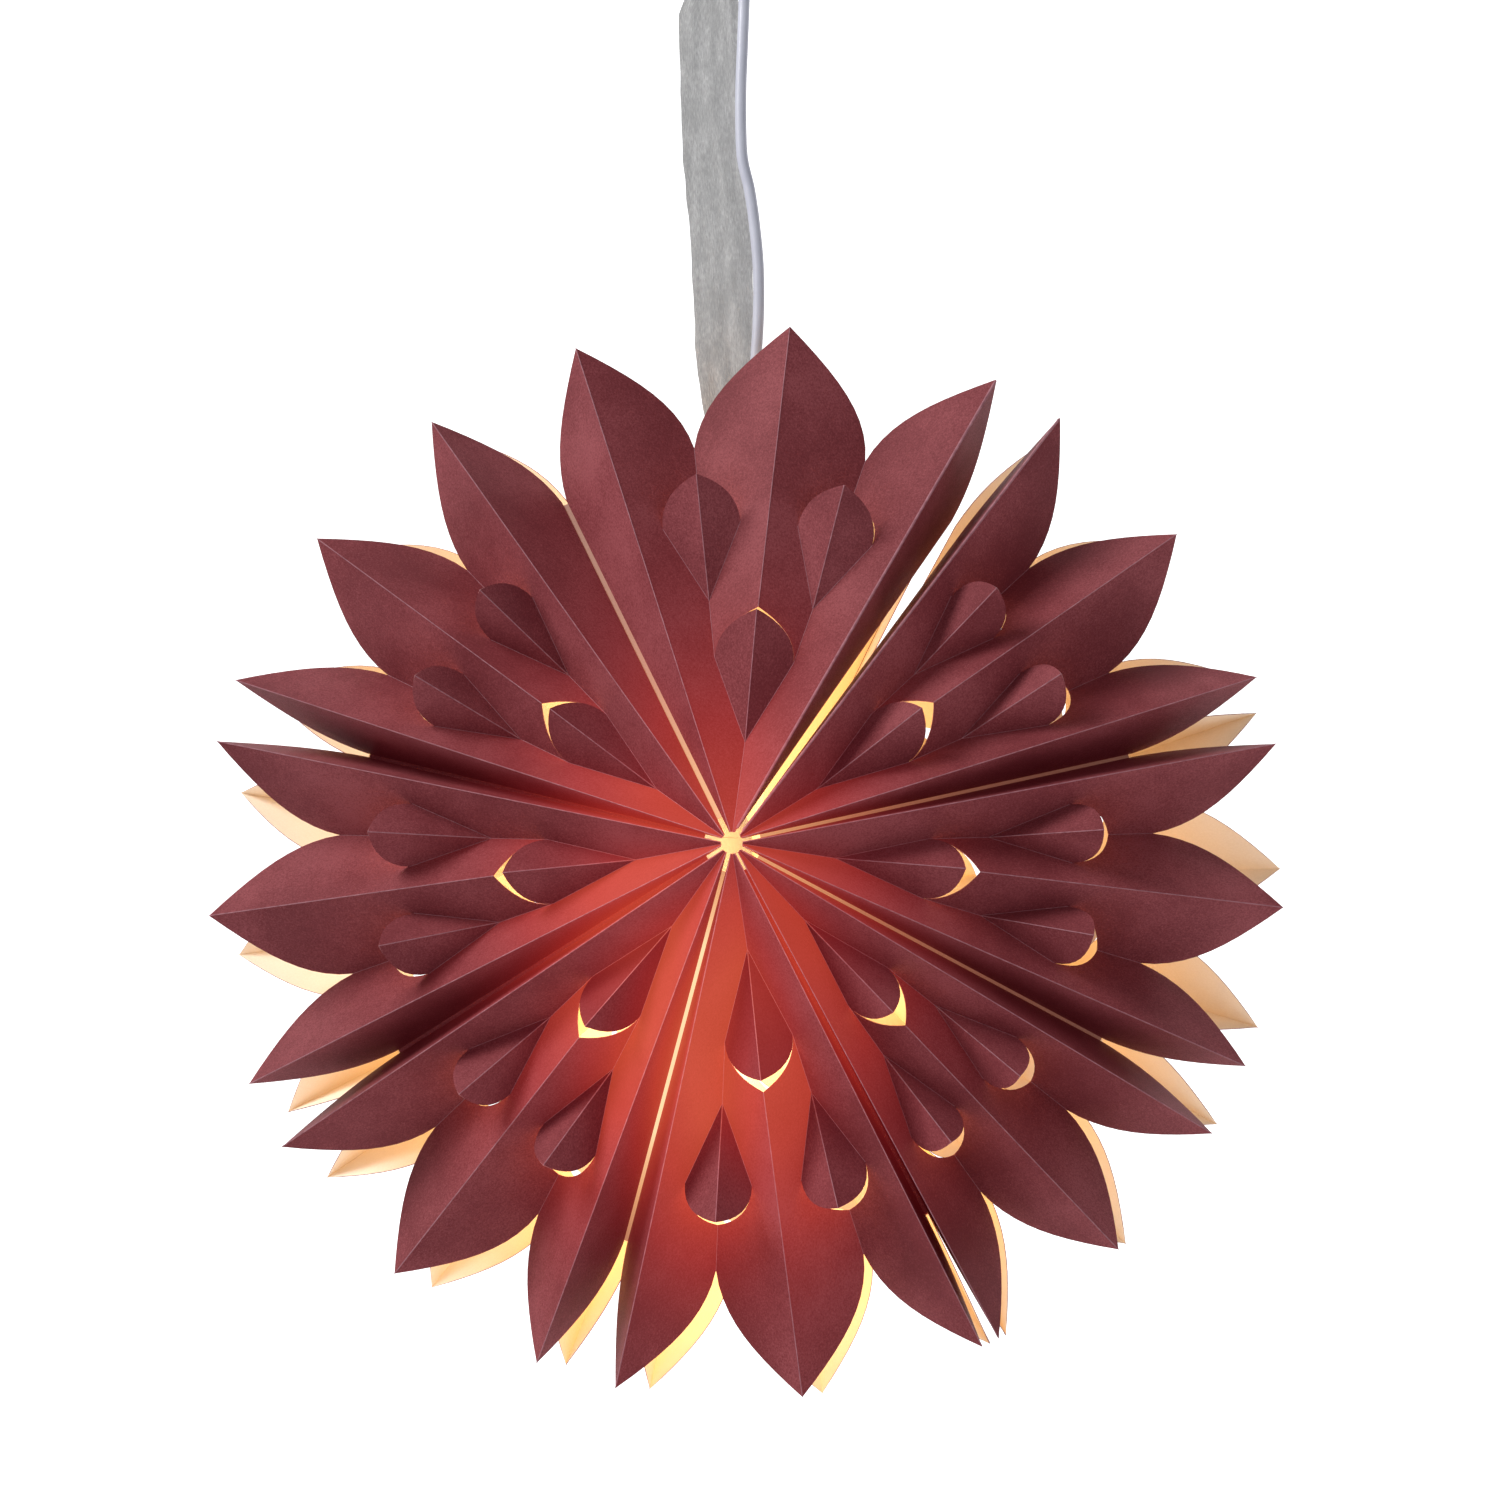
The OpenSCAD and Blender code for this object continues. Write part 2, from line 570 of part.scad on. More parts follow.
module bulb_tip_contact() {
    color([0.7, 0.7, 0.68]) at_lamp(screw_top + insulator_len) cylinder(h = tip_len - fit, r1 = 2.4, r2 = 1.6);
}

stem_r = 2.2;
stem_top = neck_len + cap_core - fit; // the stem stands in the screw cap's core
stem_bottom = -2;
filament_count = 4;
filament_r = 6;
filament_wire_r = 0.6;
module filament_stem() {
    color([0.9, 0.95, 1, 0.5]) at_lamp(globe_z) {
        translate([0, 0, stem_bottom]) cylinder(h = stem_top - stem_bottom, r = stem_r);
        translate([0, 0, stem_bottom]) sphere(stem_r + 0.6);
    }
}

module filaments() {
    color([1, 0.85, 0.5]) at_lamp(globe_z)
        for (i = [0:filament_count - 1]) rotate([0, 0, i * 360 / filament_count])
            rod([stem_r + gap + filament_wire_r, 0, neck_len - 6], [filament_r, 0, -10], filament_wire_r);
}

// Cable: from the lamp holder up through the top of the star to the ceiling fitting

gland_x = 18;
gland_y = -4;
block_h = 11;
strap_depth = 12;
block_bottom = -strap_depth - fit - block_h;
cable_route = [
    [lamp_x, lamp_y, cable_bottom], [lamp_x, lamp_y, cable_bottom + 20], [9, -10, -545], [9, -10, -518],
    [11, -9, -482], [14, -7, -442], [18, -5, -402], [21, -4, -362], [24, -4, -322], [26, -4, -290],
    [26, -4, -262], [24, -4, -238], [21, -4, -216], [17, -4, -198], [16, -4, -180], [16, -4, -155],
    [17, -4, -128], [18, -4, -98], [gland_x, gland_y, -75], [gland_x, gland_y, -60],
    [gland_x, gland_y, block_bottom - fit]
];
cable_sides = 10;

function spline_point(route, i, t) =
    let (n = len(route) - 1, a = route[max(i - 1, 0)], b = route[i], c = route[i + 1], d = route[min(i + 2, n)])
    0.5 * (2 * b + (c - a) * t + (2 * a - 5 * b + 4 * c - d) * t * t + (3 * b - a - 3 * c + d) * t * t * t);
function spline(route, steps) = concat(
    [for (i = [0:len(route) - 2]) for (j = [0:steps - 1]) spline_point(route, i, j / steps)],
    [route[len(route) - 1]]);

module tube(path, r, sides) {
    last = len(path) - 1;
    rings = [for (i = [0:last])
        let (t = unit(path[min(i + 1, last)] - path[max(i - 1, 0)]),
             u = unit(cross([0, 1, 0], t)), v = cross(t, u))
        for (j = [0:sides - 1]) path[i] + r * (cos(j * 360 / sides) * u + sin(j * 360 / sides) * v)];
    walls = [for (i = [0:last - 1]) for (j = [0:sides - 1])
        [i * sides + j, i * sides + (j + 1) % sides, (i + 1) * sides + (j + 1) % sides, (i + 1) * sides + j]];
    ends = [[for (j = [sides - 1:-1:0]) j], [for (j = [0:sides - 1]) last * sides + j]];
    polyhedron(rings, concat([for (w = walls) reversed(w)], [for (e = ends) reversed(e)]));
}

module cable() { color([0.93, 0.94, 0.96]) tube(spline(cable_route, 2), cable_r, cable_sides); }

// Ceiling fitting

ear_inner = 20;
strap_half = 40;
nut_h = 4;
nut_r = shank_d / 2 + 2.3;
collar_h = 2;
cup_floor = cup_h - cup_wall;

module ceiling_strap() {
    color([0.72, 0.73, 0.75]) difference() {
        translate([0, strap_w / 2, 0]) rotate([90, 0, 0]) linear_extrude(strap_w) polygon([
            [-strap_half, 0], [-ear_inner, 0], [-ear_inner + strap_t, -strap_depth + strap_t],
            [ear_inner - strap_t, -strap_depth + strap_t], [ear_inner, 0], [strap_half, 0], [strap_half, -strap_t],
            [ear_inner + strap_t, -strap_t], [ear_inner, -strap_depth], [-ear_inner, -strap_depth],
            [-ear_inner - strap_t, -strap_t], [-strap_half, -strap_t]]);
        for (side = [-1, 1]) translate([side * screw_pitch / 2, 0, -strap_t - 1])
            cylinder(h = strap_t + 2, d = screw_hole_d);
        translate([0, 0, -strap_depth - 1]) cylinder(h = strap_t + 2, r = shank_d / 2 + fit);
    }
}

module ceiling_cup() {
    r = cup_d / 2;
    color(white_plastic) difference() {
        turned_piece([
            [r, -fit], [r, -10], [r - 6, -cup_h + 8], [r - 14, -cup_h], [0, -cup_h], [0, -cup_floor],
            [r - 15, -cup_floor], [r - 6 - cup_wall, -cup_h + 9], [r - cup_wall, -10],
            [r - cup_wall, -fit]]);
        translate([0, 0, -cup_h - 1]) cylinder(h = cup_wall + 2, r = shank_d / 2 + fit);
        translate([gland_x, gland_y, -cup_h - 1]) cylinder(h = cup_wall + 2, r = gland_r + fit);
    }
}

module ribbon_hook() {
    color([0.72, 0.73, 0.75]) {
        translate([0, 0, -cup_h - collar_h - fit])
            cylinder(h = cup_h + collar_h + fit - strap_depth + strap_t + nut_h + 1, r = shank_d / 2);
        translate([0, 0, -cup_h - collar_h - fit]) cylinder(h = collar_h, r = shank_d / 2 + 3.5);
        translate([0, 0, hook_level + hook_r - 0.5])
            cylinder(h = -cup_h - collar_h - hook_level - hook_r + 1, r = hook_d / 2);
        translate([0, 0, hook_level]) rotate([90, 0, 0]) rotate([0, 0, 90]) rotate_extrude(angle = 270, $fn = 64)
            translate([hook_r, 0]) circle(hook_d / 2, $fn = 24);
        translate([hook_r, 0, hook_level]) sphere(hook_d / 2, $fn = 24);
    }
}

module hook_nut() {
    color([0.72, 0.73, 0.75]) translate([0, 0, -strap_depth + strap_t + fit]) difference() {
        cylinder(h = nut_h, r = nut_r, $fn = 6);
        translate([0, 0, -1]) cylinder(h = nut_h + 2, r = shank_d / 2 + fit, $fn = 48);
    }
}

gland_r = cable_r + 2;
gland_flange_r = gland_r + 3;
gland_nut_h = 4;
module cable_gland() {
    color(white_plastic) translate([gland_x, gland_y, 0]) turned_piece([
        [cable_r + fit, -cup_floor + gland_nut_h + 3], [gland_r, -cup_floor + gland_nut_h + 3],
        [gland_r, -cup_h - fit], [gland_flange_r, -cup_h - fit], [gland_flange_r, -cup_h - 3],
        [gland_r, -cup_h - 5], [cable_r + 1, -cup_h - 12], [cable_r + fit, -cup_h - 12]]);
}

module gland_nut() {
    color(white_plastic) translate([gland_x, gland_y, -cup_floor + fit]) difference() {
        cylinder(h = gland_nut_h, r = gland_flange_r, $fn = 6);
        translate([0, 0, -1]) cylinder(h = gland_nut_h + 2, r = gland_r + fit, $fn = 48);
    }
}

block_x = 16;
block_y = 14;
module terminal_block() {
    color([0.9, 0.9, 0.88]) translate([gland_x - block_x / 2 - 4, gland_y - block_y / 2 + 2, block_bottom])
        cube([block_x, block_y, block_h]);
}

for (number = [1:segments]) {
    front_segment(number);
    back_segment(number);
}
closing_panel_front_left();
closing_panel_front_right();
closing_panel_back_left();
closing_panel_back_right();
front_seam_strips();
back_seam_strips();
rim_tabs();
hanger_wire();
hanger_patches();
ribbon();
cable();
cord_grip();
holder_cap();
holder_shell();
holder_insulator();
thread_sleeve();
centre_contact();
bulb_glass();
bulb_screw_cap();
bulb_cap_insulator();
bulb_tip_contact();
filament_stem();
filaments();
ceiling_strap();
ceiling_cup();
ribbon_hook();
hook_nut();
cable_gland();
gland_nut();
terminal_block();
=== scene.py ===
"""Looks of a hanging paper star lantern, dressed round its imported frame. Metres, +Z up, front towards -Y."""
import json
import math

import bmesh
import bpy
import numpy as np
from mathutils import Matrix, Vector, noise


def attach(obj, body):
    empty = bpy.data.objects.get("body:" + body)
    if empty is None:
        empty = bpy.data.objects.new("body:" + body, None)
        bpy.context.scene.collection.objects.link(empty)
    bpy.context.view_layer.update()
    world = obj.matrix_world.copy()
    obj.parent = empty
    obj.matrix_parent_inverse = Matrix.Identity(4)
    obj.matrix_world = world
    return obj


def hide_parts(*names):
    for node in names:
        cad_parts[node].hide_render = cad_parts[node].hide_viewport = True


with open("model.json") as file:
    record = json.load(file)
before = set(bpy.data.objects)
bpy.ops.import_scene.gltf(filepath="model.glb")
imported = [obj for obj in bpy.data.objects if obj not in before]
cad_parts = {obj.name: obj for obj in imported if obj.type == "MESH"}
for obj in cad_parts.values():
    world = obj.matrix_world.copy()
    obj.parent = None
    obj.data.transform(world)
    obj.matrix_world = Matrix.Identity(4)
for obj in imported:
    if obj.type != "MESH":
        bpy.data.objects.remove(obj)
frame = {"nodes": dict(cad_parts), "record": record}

MM = 0.001
STAR = Vector((0.019, 0.0, -0.600))      # the middle of the star
LAMP = Vector((0.009, -0.010, -0.655))   # the middle of the bulb's globe
PAPER = 0.5 * MM
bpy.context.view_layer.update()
ROOT = "star and fittings"
nodes = frame["nodes"]


def new_object(name, data):
    """An object in the scene, with its origin at the frame's origin."""
    made = bpy.data.objects.new(name, data)
    bpy.context.scene.collection.objects.link(made)
    return made


# ---------------------------------------------------------------- camera, light and stage

CAMERA_DISTANCE = 2.5
CAMERA_AZIMUTH = 4.6
CAMERA_RISE = -5.7
CAMERA_LENS = 108.8
AIM_RIGHT = 5.4 * MM      # the star hangs a little left of and below the picture's middle
AIM_UP = 57.0 * MM
TIP_PLANE = 45 * MM       # the petals' tips stand this far in front of the star's middle


def direction(azimuth, rise):
    """Unit vector away from the star: 0, 0 points to the front, and both angles are in degrees."""
    a, e = math.radians(azimuth), math.radians(rise)
    return Vector((math.sin(a) * math.cos(e), -math.cos(a) * math.cos(e), math.sin(e)))


def add_camera():
    toward = direction(CAMERA_AZIMUTH, CAMERA_RISE)
    turn = toward.to_track_quat("Z", "Y")
    right, up = turn @ Vector((1, 0, 0)), turn @ Vector((0, 1, 0))
    centre = STAR + Vector((0, -TIP_PLANE, 0))
    place = centre + CAMERA_DISTANCE * toward
    aim = centre + AIM_RIGHT * right + AIM_UP * up
    camera = new_object("camera", bpy.data.cameras.new("camera"))
    camera.data.lens = CAMERA_LENS
    camera.data.clip_end = 30
    camera.location = place
    camera.rotation_euler = (place - aim).to_track_quat("Z", "Y").to_euler()
    bpy.context.scene.camera = camera


def add_area(name, azimuth, rise, distance, size, power, colour):
    """A square soft light that faces the star."""
    light = bpy.data.lights.new(name, "AREA")
    light.size = size
    light.energy = power
    light.color = colour
    lamp = new_object(name, light)
    toward = direction(azimuth, rise)
    lamp.location = STAR + distance * toward
    lamp.rotation_euler = toward.to_track_quat("Z", "Y").to_euler()


def add_lights():
    world = bpy.data.worlds.new("studio")
    bpy.context.scene.world = world
    world.use_nodes = True
    background = world.node_tree.nodes["Background"]
    background.inputs["Color"].default_value = (0.95, 0.97, 1.0, 1)
    background.inputs["Strength"].default_value = 0.26
    add_area("key_light", azimuth=-58, rise=38, distance=2.6, size=1.2, power=62, colour=(1.0, 0.98, 0.96))
    add_area("fill_light", azimuth=42, rise=12, distance=3.2, size=2.0, power=8, colour=(0.96, 0.98, 1.0))
    bulb = bpy.data.lights.new("bulb_light", "POINT")
    bulb.energy = 1.6
    bulb.color = (1.0, 0.60, 0.28)
    bulb.shadow_soft_size = 20 * MM
    new_object("bulb_light", bulb).location = LAMP
    bpy.context.scene.view_settings.view_transform = "Standard"


def plain_surface(name, glow):
    material, _, shader = new_material(name)
    shader.inputs["Base Color"].default_value = (0.85, 0.85, 0.85, 1)
    shader.inputs["Roughness"].default_value = 0.9
    shader.inputs["Emission Color"].default_value = (1, 1, 1, 1)
    shader.inputs["Emission Strength"].default_value = glow
    return material


FLOOR_LEVEL = -2.4
FLOOR_HALF = 9.0
WALL_BACK = 8.0           # so far behind the star that a view from the back stands in front of it
WALL_HALF = 24.0


def stage_sheet(name, glow, corners):
    mesh = bpy.data.meshes.new(name)
    mesh.from_pydata(corners, [], [(0, 1, 2, 3)])
    mesh.materials.append(plain_surface("pale " + name, glow))
    new_object(name, mesh)


def add_stage():
    """A pale floor and a white wall."""
    stage_sheet("floor", 0.30, [(-FLOOR_HALF, -FLOOR_HALF, FLOOR_LEVEL), (FLOOR_HALF, -FLOOR_HALF, FLOOR_LEVEL),
                                (FLOOR_HALF, FLOOR_HALF, FLOOR_LEVEL), (-FLOOR_HALF, FLOOR_HALF, FLOOR_LEVEL)])
    stage_sheet("wall", 1.0, [(-WALL_HALF, WALL_BACK, FLOOR_LEVEL), (WALL_HALF, WALL_BACK, FLOOR_LEVEL),
                              (WALL_HALF, WALL_BACK, WALL_HALF), (-WALL_HALF, WALL_BACK, WALL_HALF)])


# ---------------------------------------------------------------- making materials

def new_material(name):
    material = bpy.data.materials.new(name)
    material.use_nodes = True
    tree = material.node_tree
    return material, tree, tree.nodes["Principled BSDF"]


def add_node(tree, kind, links=(), **values):
    """Adds a node: links are (input, output socket) pairs, and values set its properties or its inputs."""
    node = tree.nodes.new(kind)
    for key, value in values.items():
        if hasattr(node, key):
            setattr(node, key, value)
        else:
            node.inputs[key.replace("_", " ")].default_value = value
    for key, socket in links:
        tree.links.new(socket, node.inputs[key])
    return node


def fill_inputs(tree, node, values):
    """Gives a node's inputs their values in turn: a socket, a number or a vector."""
    for slot, value in enumerate(values):
        if isinstance(value, bpy.types.NodeSocket):
            tree.links.new(value, node.inputs[slot])
        else:
            node.inputs[slot].default_value = value


def math_node(tree, operation, *values):
    """values are sockets or numbers."""
    node = add_node(tree, "ShaderNodeMath", operation=operation)
    fill_inputs(tree, node, values)
    return node.outputs[0]


def vector_node(tree, operation, *values):
    """values are sockets or vectors."""
    node = add_node(tree, "ShaderNodeVectorMath", operation=operation)
    fill_inputs(tree, node, values)
    return node.outputs["Value" if operation in ("DOT_PRODUCT", "LENGTH") else "Vector"]


def weighted_sum(tree, *parts):
    """Sum of (socket, weight) pairs."""
    total = None
    for socket, weight in parts:
        part = math_node(tree, "MULTIPLY", socket, weight)
        total = part if total is None else math_node(tree, "ADD", total, part)
    return total


def object_place(tree):
    return tree.nodes.new("ShaderNodeTexCoord").outputs["Object"]


def noise_value(tree, coordinates, scale, detail=3.0, roughness=0.6):
    return add_node(tree, "ShaderNodeTexNoise", [("Vector", coordinates)], Scale=scale, Detail=detail,
                    Roughness=roughness).outputs["Fac"]


def ramp(tree, factor, stops):
    """A colour ramp through (position, colour) stops."""
    node = tree.nodes.new("ShaderNodeValToRGB")
    elements = node.color_ramp.elements
    while len(elements) < len(stops):
        elements.new(0.5)
    for element, (position, colour) in zip(elements, stops):
        element.position = position
        element.color = (*colour, 1)
    tree.links.new(factor, node.inputs["Fac"])
    return node.outputs["Color"]


def add_bump(tree, shader, height, strength, distance):
    bump = add_node(tree, "ShaderNodeBump", [("Height", height)], Strength=strength, Distance=distance)
    tree.links.new(bump.outputs["Normal"], shader.inputs["Normal"])


LAMP_REACH = 122.0        # scales the light so that the paper nearest to the lamp gets about 1
SLANT_SHARE = 0.78        # falls with the slant; the rest is light thrown about inside the star
LAMP_SOFTNESS = 4 * MM    # keeps the light finite close to the lamp
GLOW = LAMP + Vector((-0.012, 0, -0.028))     # the middle of the glow: the globe is brighter low on its left
GLOW_SHAPE = (1.4, 1.0, 0.85)                 # the glow is narrower from left to right


def lamp_light(tree):
    """How strongly the bulb lights the sheet from 0 to 1, worked out from place for painted light: falls with
    distance and with the sheet's slant.
    """
    place = tree.nodes.new("ShaderNodeTexCoord")
    away = vector_node(tree, "SUBTRACT", place.outputs["Object"], GLOW)
    far = vector_node(tree, "LENGTH", vector_node(tree, "MULTIPLY", away, GLOW_SHAPE))
    slant = math_node(tree, "ABSOLUTE", vector_node(tree, "DOT_PRODUCT", away, place.outputs["Normal"]))
    spread = weighted_sum(tree, (slant, SLANT_SHARE), (far, 1 - SLANT_SHARE))
    fall = math_node(tree, "DIVIDE", spread,
                     math_node(tree, "POWER", math_node(tree, "ADD", far, LAMP_SOFTNESS), 3.0))
    return math_node(tree, "DIVIDE", fall, LAMP_REACH)


# Grains of the paper, in features to the metre
CLOUD_SCALE = 14
TOOTH_SCALE = 900
FIBRE_SCALE = 2600
FIBRE_STRETCH = (1.0, 1.0, 0.25)      # the fibres are four times as long upwards


def paper_grain(tree):
    """Three grains of a sheet: slow clouds, a fine tooth and drawn-out fibres."""
    place = object_place(tree)
    cloud = noise_value(tree, place, CLOUD_SCALE, 4)
    tooth = noise_value(tree, place, TOOTH_SCALE, 3, 0.7)
    fibre = noise_value(tree, vector_node(tree, "MULTIPLY", place, FIBRE_STRETCH), FIBRE_SCALE, 2, 0.8)
    return place, cloud, tooth, fibre


WAVE_SCALE = 16
WAVE_HEIGHT = 2.2 * MM
TOOTH_HEIGHT = 0.06 * MM


def add_relief(tree, shader, place, tooth, fibre):
    """The sheet's slight waves with its tooth on top."""
    wave = noise_value(tree, place, WAVE_SCALE, 2, 0.4)
    height = weighted_sum(tree, (wave, WAVE_HEIGHT), (tooth, TOOTH_HEIGHT), (fibre, TOOTH_HEIGHT))
    add_bump(tree, shader, height, 1.0, 1.0)


# Painted light for the emission: light that comes through the dyed sheet, and light on its plain face, against
# the lamp's strength
RED_GLOW = [(0.0, (0.010, 0.0002, 0.0008)), (0.08, (0.020, 0.0006, 0.0012)), (0.15, (0.075, 0.004, 0.005)),
            (0.28, (0.22, 0.014, 0.011)), (0.50, (0.38, 0.037, 0.020)), (1.0, (0.47, 0.062, 0.028))]
# A popped flap stands off the sheet, so less light comes through it
FLAP_GLOW = [(0.0, (0.006, 0.0002, 0.0006)), (0.20, (0.030, 0.001, 0.003)), (0.50, (0.14, 0.007, 0.009)),
             (1.0, (0.26, 0.022, 0.016))]
WARM_GLOW = [(0.0, (0.020, 0.008, 0.003)), (0.04, (0.20, 0.085, 0.020)), (0.12, (0.58, 0.28, 0.055)),
             (0.30, (0.85, 0.50, 0.16)), (0.60, (0.98, 0.74, 0.36)), (1.0, (1.0, 0.90, 0.66))]
SEAM_GLOW = [(0.0, (0.030, 0.006, 0.004)), (0.06, (0.11, 0.026, 0.012)), (0.20, (0.32, 0.10, 0.045)),
             (0.45, (0.66, 0.32, 0.13)), (1.0, (0.95, 0.70, 0.38))]


def add_glow(tree, shader, stops):
    tree.links.new(ramp(tree, lamp_light(tree), stops), shader.inputs["Emission Color"])
    shader.inputs["Emission Strength"].default_value = 1.0


HUB_GLARE = 11 * MM       # the plain paper burns out to white this near the star's axis
GLARE_GAIN = 4.0          # how much brighter the glow gets on the axis itself


def add_glare(tree, shader):
    """Brightens a sheet towards the star's axis, where the lamp shines straight out."""
    place = object_place(tree)
    away = vector_node(tree, "MULTIPLY", vector_node(tree, "SUBTRACT", place, STAR), (1.0, 0.0, 1.0))
    far = math_node(tree, "DIVIDE", vector_node(tree, "LENGTH", away), HUB_GLARE)
    near = math_node(tree, "SUBTRACT", 1.0, far)
    glare = math_node(tree, "MULTIPLY", math_node(tree, "MAXIMUM", near, 0.0), GLARE_GAIN)
    tree.links.new(math_node(tree, "ADD", glare, 1.0), shader.inputs["Emission Strength"])


LAMP_TINT_GAIN = 1.8           # painted light: the lamp's light times this is how far the base colour turns to a stronger red


def burgundy_paper(name, stops):
    """Coloured face of the paper: dyed fibres, a fine tooth, the lamp's red glow through it, and a stronger red
    painted into the base colour where the lamp's light falls.
    """
    material, tree, shader = new_material(name)
    place, cloud, tooth, fibre = paper_grain(tree)
    blend = weighted_sum(tree, (cloud, 0.36), (tooth, 0.36), (fibre, 0.28))
    colour = ramp(tree, blend, [(0.42, (0.136, 0.028, 0.034)), (0.50, (0.200, 0.046, 0.054)),
                                (0.58, (0.280, 0.076, 0.087))])
    # painted light: a stronger red for the base colour, mixed in where the lamp's light falls
    lamp_tint = ramp(tree, blend, [(0.40, (0.158, 0.016, 0.016)), (0.60, (0.248, 0.039, 0.039))])
    lit = math_node(tree, "MINIMUM", math_node(tree, "MULTIPLY", lamp_light(tree), LAMP_TINT_GAIN), 1.0)
    # the mix's colours are its inputs 6 and 7 and its output 2
    shade = add_node(tree, "ShaderNodeMix", [(0, lit), (6, colour), (7, lamp_tint)], data_type="RGBA")
    tree.links.new(shade.outputs[2], shader.inputs["Base Color"])
    shader.inputs["Roughness"].default_value = 0.60
    shader.inputs["Specular IOR Level"].default_value = 0.12
    add_glow(tree, shader, stops)
    add_relief(tree, shader, place, tooth, fibre)
    return material


def plain_paper(name, low, high, stops):
    """Undyed paper, lit warm by the lamp."""
    material, tree, shader = new_material(name)
    place, cloud, tooth, fibre = paper_grain(tree)
    blend = weighted_sum(tree, (tooth, 0.5), (cloud, 0.5))
    tree.links.new(ramp(tree, blend, [(0.3, low), (0.7, high)]), shader.inputs["Base Color"])
    shader.inputs["Roughness"].default_value = 0.8
    add_glow(tree, shader, stops)
    add_glare(tree, shader)
    add_relief(tree, shader, place, tooth, fibre)
    return material


def paper_core():
    """Cut edge of the paper, where the colour ends and the pale core shows."""
    material, tree, shader = new_material("paper cut edge")
    place = object_place(tree)
    colour = ramp(tree, noise_value(tree, place, 700, 3),
                  [(0.3, (0.26, 0.10, 0.11)), (0.7, (0.46, 0.24, 0.24))])
    tree.links.new(colour, shader.inputs["Base Color"])
    shader.inputs["Roughness"].default_value = 0.85
    add_glow(tree, shader, RED_GLOW)
    return material


def crease_highlight_paper():
    """Fold line, paler than the paper beside it: partly ink worn off on the fold, partly a painted highlight.
    """
    material, tree, shader = new_material("rubbed crease")
    place = object_place(tree)
    colour = ramp(tree, noise_value(tree, place, 300, 3),
                  [(0.3, (0.22, 0.080, 0.100)), (0.7, (0.38, 0.17, 0.20))])
    tree.links.new(colour, shader.inputs["Base Color"])
    shader.inputs["Roughness"].default_value = 0.7
    add_glow(tree, shader, RED_GLOW)
    return material


def finish_material(name, low, high, roughness, metallic=0.0, scale=60.0, bump=0.1, coat=0.0, alpha=1.0,
                    glow=None):
    """A worked finish: its colour drifts between two tones, over a finer bump. glow is (colour, strength)."""
    material, tree, shader = new_material(name)
    place = object_place(tree)
    grain = noise_value(tree, place, scale, 4, 0.65)
    tree.links.new(ramp(tree, grain, [(0.35, low), (0.65, high)]), shader.inputs["Base Color"])
    shader.inputs["Roughness"].default_value = roughness
    shader.inputs["Metallic"].default_value = metallic
    shader.inputs["Coat Weight"].default_value = coat
    shader.inputs["Alpha"].default_value = alpha
    if glow:
        shader.inputs["Emission Color"].default_value = (*glow[0], 1)
        shader.inputs["Emission Strength"].default_value = glow[1]
    add_bump(tree, shader, noise_value(tree, place, scale * 12, 2), bump, 0.0002)
    return material


def brushed_steel(name):
    material, tree, shader = new_material(name)
    place = object_place(tree)
    lines = noise_value(tree, vector_node(tree, "MULTIPLY", place, (40.0, 1800.0, 1800.0)), 1.0, 3)
    colour = ramp(tree, lines, [(0.3, (0.42, 0.43, 0.45)), (0.7, (0.66, 0.67, 0.69))])
    tree.links.new(colour, shader.inputs["Base Color"])
    shader.inputs["Metallic"].default_value = 1.0
    shader.inputs["Roughness"].default_value = 0.34
    add_bump(tree, shader, lines, 0.12, 0.0001)
    return material


def sheer_ribbon():
    """Woven organza: fine crossing threads with uneven flecks and clouds, a little see-through."""
    material, tree, shader = new_material("sheer ribbon")
    flat = add_node(tree, "ShaderNodeUVMap", uv_map="weave").outputs["UV"]
    flecks = noise_value(tree, vector_node(tree, "MULTIPLY", flat, (1500.0, 240.0, 1.0)), 1.0, 3, 0.7)
    clouds = noise_value(tree, vector_node(tree, "MULTIPLY", flat, (120.0, 45.0, 1.0)), 1.0, 3)
    threads = add_node(tree, "ShaderNodeTexWave", [("Vector", flat)], Scale=1500.0, wave_type="BANDS",
                       bands_direction="X").outputs["Fac"]
    blend = weighted_sum(tree, (flecks, 0.55), (clouds, 0.35), (threads, 0.10))
    colour = ramp(tree, blend, [(0.40, (0.20, 0.20, 0.202)), (0.50, (0.28, 0.28, 0.282)),
                                (0.62, (0.48, 0.48, 0.485))])
    tree.links.new(colour, shader.inputs["Base Color"])
    solid = add_node(tree, "ShaderNodeMapRange", [("Value", blend)], From_Min=0.3, From_Max=0.7, To_Min=0.88,
                     To_Max=0.97)
    tree.links.new(solid.outputs["Result"], shader.inputs["Alpha"])
    shader.inputs["Roughness"].default_value = 0.45
    shader.inputs["Sheen Weight"].default_value = 0.4
    add_bump(tree, shader, blend, 0.3, 0.0003)
    return material


# ---------------------------------------------------------------- meshes

def mesh_piece(name, mesh, material=None):
    if material is not None:
        mesh.materials.append(material)
    return new_object(name, mesh)


MERGE_WITHIN = 0.01 * MM


def merged_copy(node):
    """A working copy of a node's mesh, with its faces joined along their edges."""
    work = bmesh.new()
    work.from_mesh(nodes[node].data)
    bmesh.ops.remove_doubles(work, verts=work.verts, dist=MERGE_WITHIN)
    return work


# Faces of a folded sheet, as numbers of their materials
OUTSIDE, INSIDE, CUT_EDGE, FLAP = 0, 1, 2, 3
FLAT = math.cos(math.radians(0.8))      # faces that turn less than this lie in one plane
EDGE_WIDTH = 1.5 * PAPER                # a flat region narrower than this is a cut edge
FLAP_AREA = 1100 * MM * MM              # the flaps' halves are smaller than this, and the panels larger
FOLD_TURN = math.radians(6)             # an edge that turns more than this is a fold
SHORTEST_FOLD = 2 * PAPER


